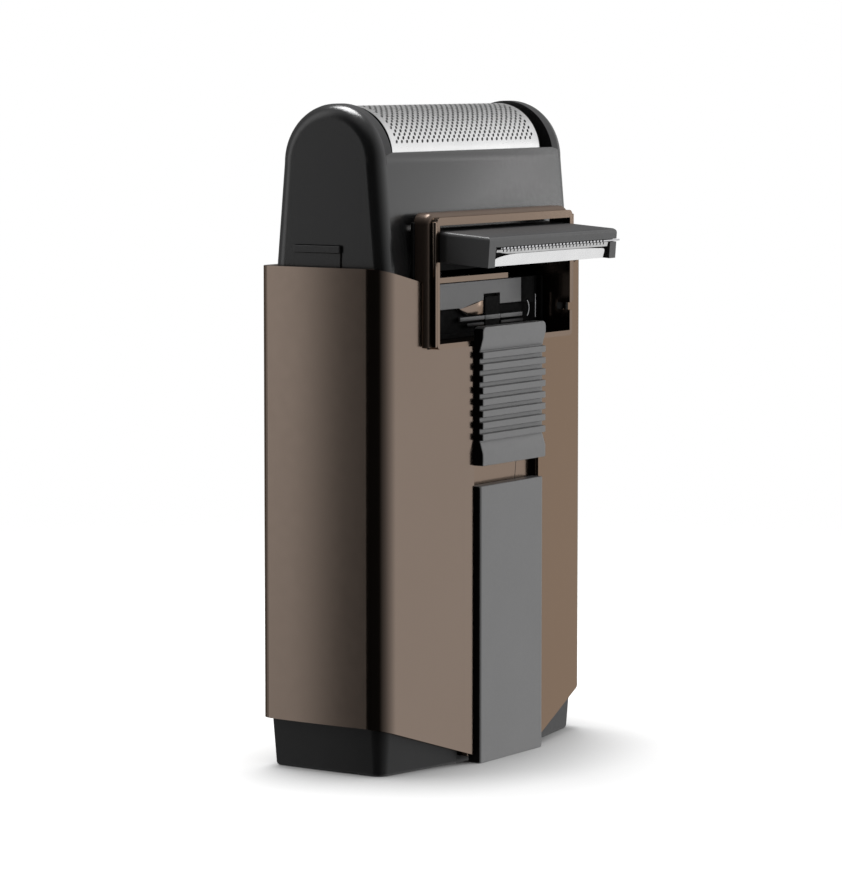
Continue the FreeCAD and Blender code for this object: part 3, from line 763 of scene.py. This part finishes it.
def makeFloor():
    # a pale disc whose glow is dimmed by ambient occlusion close to the foot, a painted contact shadow, and
    # which fades out before its rim, so the backdrop stays even
    rings, spokes, radius = floorPlan["rings"], floorPlan["spokes"], floorPlan["radius"]
    verts, faces = [(0, 0, 0)], []
    for ring in range(1, rings + 1):
        for spoke in range(spokes):
            turn = 2 * math.pi * spoke / spokes
            reach = radius * ring / rings
            verts.append((reach * math.cos(turn), reach * math.sin(turn), 0))
    for spoke in range(spokes):
        after = (spoke + 1) % spokes
        faces.append((0, 1 + spoke, 1 + after))
        for ring in range(rings - 1):
            low = 1 + ring * spokes
            faces.append((low + spoke, low + spokes + spoke, low + spokes + after, low + after))
    floor = meshFrom("floor", verts, faces)
    material, nodes, links, shader = startMaterial("paleFloor")
    tone = floorPlan["tone"]
    shader.inputs["Base Color"].default_value = (tone, tone, tone, 1)
    shader.inputs["Roughness"].default_value = 0.9
    shader.inputs["Specular IOR Level"].default_value = 0.0
    shader.inputs["Emission Color"].default_value = (1, 1, 1, 1)
    # painted contact shadow: ambient occlusion drives the floor's glow
    contactShadow = nodes.new("ShaderNodeAmbientOcclusion")
    contactShadow.samples = 16
    contactShadow.inputs["Distance"].default_value = floorPlan["reach"]
    power = nodes.new("ShaderNodeMath")
    power.operation = "POWER"
    power.inputs[1].default_value = floorPlan["falloff"]
    links.new(contactShadow.outputs["AO"], power.inputs[0])
    glow = addRange(nodes, links, power.outputs[0], floorPlan["dark"], floorPlan["light"], 0.0, 1.0)
    links.new(glow, shader.inputs["Emission Strength"])
    coords = nodes.new("ShaderNodeTexCoord")
    length = nodes.new("ShaderNodeVectorMath")
    length.operation = "LENGTH"
    links.new(coords.outputs["Object"], length.inputs[0])
    start, end = floorPlan["fadeStart"], floorPlan["fadeEnd"]
    fade = addRange(nodes, links, length.outputs["Value"], 1.0, 0.0, start, end)
    fade.node.interpolation_type = "SMOOTHSTEP"
    links.new(fade, shader.inputs["Alpha"])
    paint(floor, material)
    floor.visible_glossy = False
    floor.visible_diffuse = False


lightPlan = {
    "overhead": {
        "at": (0.10, 0.16, 0.85), "size": (0.4, 0.4), "power": 9.3, "toward": (0, 0, 0), "shine": 0.5},
    "sideGlow": {
        "at": (0.270, -0.141, 0.112), "size": (0.022, 0.07), "power": 0.016,
        "toward": (0.02, -0.011, 0.095)},
}


def makeLight(name, plan):
    data = bpy.data.lights.new(name, "AREA")
    data.shape = "RECTANGLE"
    data.size, data.size_y = plan["size"]
    data.energy = plan["power"]
    data.specular_factor = plan.get("shine", 1.0)
    lamp = link(bpy.data.objects.new(name, data))
    lamp.location = plan["at"]
    toward = Vector(plan["toward"]) - Vector(plan["at"])
    lamp.rotation_euler = toward.to_track_quat("-Z", "Y").to_euler()
    return lamp


# brightness of the surrounding studio by compass angle, in degrees from +X
studioPlan = {
    "peak": 1.6,
    "stops": ((-180, 0.015), (-142, 0.015), (-113, 0.37), (-83, 0.95), (-58, 1.50), (-33, 1.38),
              (-8, 0.90), (15, 0.45), (33, 0.20), (60, 0.15), (100, 0.30), (118, 1.30), (124, 1.50),
              (139.5, 1.50), (142, 1.0), (144, 0.42), (146, 0.28), (149.5, 0.16), (153, 0.015),
              (180, 0.015)),
    "ceiling": 0.55, "ceilingFrom": (0.55, 0.9), "lowShare": 0.78, "lowFrom": (-0.16, -0.085),
}


def makeWorld():
    world = bpy.data.worlds.new("studio")
    bpy.context.scene.world = world
    world.use_nodes = True
    nodes, links = world.node_tree.nodes, world.node_tree.links
    background = nodes["Background"]
    path = nodes.new("ShaderNodeLightPath")
    coords = nodes.new("ShaderNodeTexCoord")
    split = nodes.new("ShaderNodeSeparateXYZ")
    links.new(coords.outputs["Generated"], split.inputs[0])
    compass = nodes.new("ShaderNodeMath")
    compass.operation = "ARCTAN2"
    links.new(split.outputs["Y"], compass.inputs[0])
    links.new(split.outputs["X"], compass.inputs[1])
    share = addRange(nodes, links, compass.outputs[0], 0.0, 1.0, -math.pi, math.pi)
    ramp = nodes.new("ShaderNodeValToRGB")
    ramp.color_ramp.interpolation = "LINEAR"
    elements = ramp.color_ramp.elements
    stops = studioPlan["stops"]
    while len(elements) < len(stops):
        elements.new(0.5)
    for element, (angle, value) in zip(elements, stops):
        element.position = (angle + 180) / 360
        level = value / studioPlan["peak"]
        element.color = (level, level, level, 1)
    links.new(share, ramp.inputs["Fac"])
    lift = addRange(nodes, links, split.outputs["Z"], 0.0, 1.0, *studioPlan["ceilingFrom"])
    mix = nodes.new("ShaderNodeMix")
    links.new(lift, mix.inputs[0])
    scaled = nodes.new("ShaderNodeMath")
    scaled.operation = "MULTIPLY"
    scaled.inputs[1].default_value = studioPlan["peak"]
    links.new(ramp.outputs["Color"], scaled.inputs[0])
    links.new(scaled.outputs[0], mix.inputs[2])
    mix.inputs[3].default_value = studioPlan["ceiling"]
    # the back left quarter is dimmer below the horizon
    low = addRange(nodes, links, split.outputs["Z"], studioPlan["lowShare"], 1.0, *studioPlan["lowFrom"])
    quarter = nodes.new("ShaderNodeMath")
    quarter.operation = "GREATER_THAN"
    quarter.inputs[1].default_value = math.radians(90)
    links.new(compass.outputs[0], quarter.inputs[0])
    dim = nodes.new("ShaderNodeMix")
    links.new(quarter.outputs[0], dim.inputs[0])
    dim.inputs[2].default_value = 1.0
    links.new(low, dim.inputs[3])
    dimmed = nodes.new("ShaderNodeMath")
    dimmed.operation = "MULTIPLY"
    links.new(mix.outputs[0], dimmed.inputs[0])
    links.new(dim.outputs[0], dimmed.inputs[1])
    seen = nodes.new("ShaderNodeMix")
    links.new(path.outputs["Is Camera Ray"], seen.inputs[0])
    links.new(dimmed.outputs[0], seen.inputs[2])
    seen.inputs[3].default_value = 1.0
    links.new(seen.outputs[0], background.inputs["Strength"])
    background.inputs["Color"].default_value = (1, 1, 1, 1)


cameraPlan = {
    "at": (-0.55655, -0.36500, 0.11754), "azimuth": -56.663, "elevation": 5.479, "lens": 162.31,
}


def makeCamera():
    data = bpy.data.cameras.new("camera")
    data.lens = cameraPlan["lens"]
    data.sensor_width = 36
    data.clip_start = 0.01
    camera = link(bpy.data.objects.new("camera", data))
    camera.location = cameraPlan["at"]
    tip = math.radians(90 - cameraPlan["elevation"])
    camera.rotation_euler = (tip, 0, math.radians(cameraPlan["azimuth"]))
    bpy.context.scene.camera = camera


makeFloor()
for name, plan in lightPlan.items():
    makeLight(name, plan)
makeWorld()
makeCamera()
bpy.context.scene.view_settings.view_transform = "Standard"
print("stage made")
